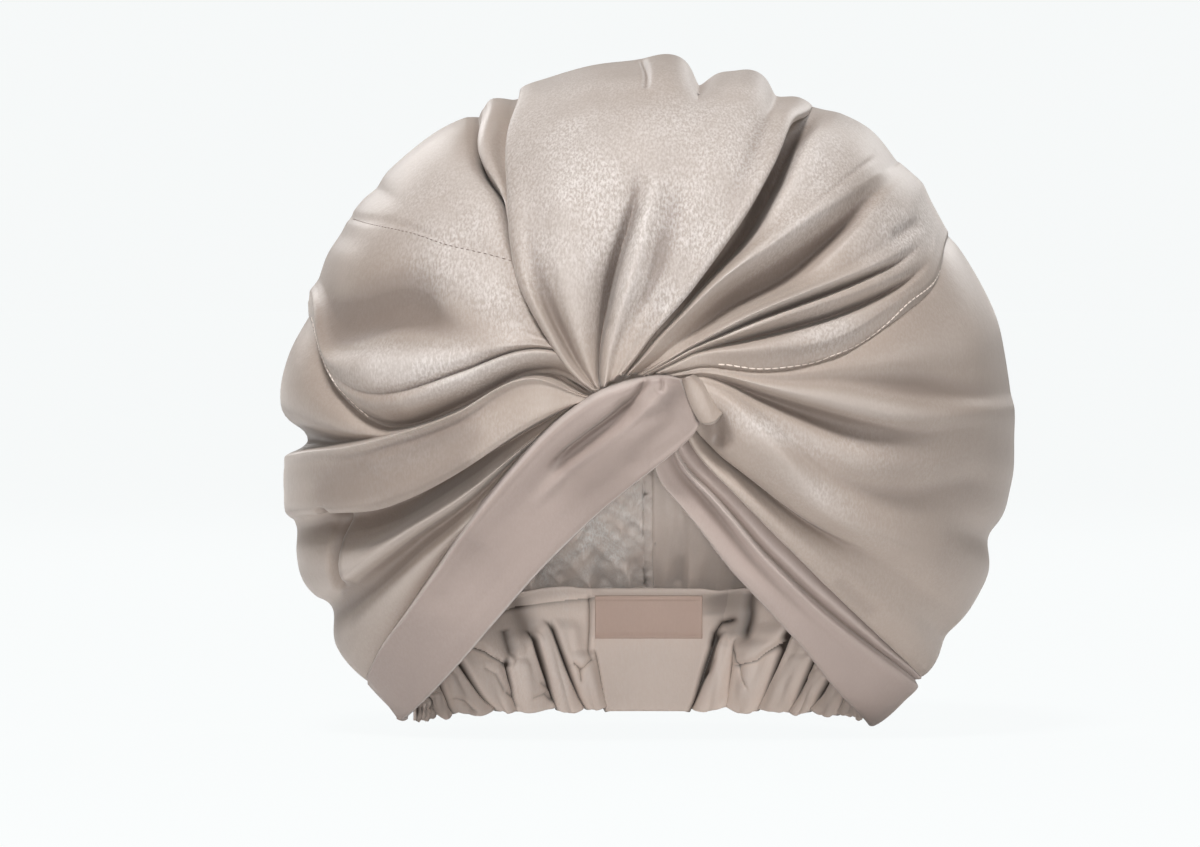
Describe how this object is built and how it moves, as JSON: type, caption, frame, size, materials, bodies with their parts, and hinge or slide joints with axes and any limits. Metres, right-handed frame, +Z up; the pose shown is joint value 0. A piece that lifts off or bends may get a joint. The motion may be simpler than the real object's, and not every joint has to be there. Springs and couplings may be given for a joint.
{
  "type": "sleep bonnet",
  "caption": "Soft satin sleep bonnet with pleated crown panels, a crossed front band over a tucked knot, and a gathered elastic nape casing.",
  "frame": {"origin": "centre of the head opening, in the plane of the lower hem", "axes": "+X towards the wearer's left side (right in a front view), +Y from the face towards the back of the head, +Z up through the crown"},
  "size_m": [0.2731, 0.2503, 0.2493],
  "materials": {
    "satin": "soft champagne satin with a fine grain and a broad pale sheen",
    "band_satin": "the same satin pulled smooth, less shiny and slightly pinker",
    "casing": "satin gathered over elastic into deep ruffles",
    "label": "plain woven ribbon, bare"
  },
  "bodies": {
    "root": {"crown_center": "satin", "crown_left": "satin", "side_left": "satin", "crown_right": "satin", "side_right": "satin", "band_right": "band_satin", "band_left": "band_satin", "back_left": "satin", "back_right": "satin", "nape_casing": "casing", "label": "label"}
  },
  "joints": []
}
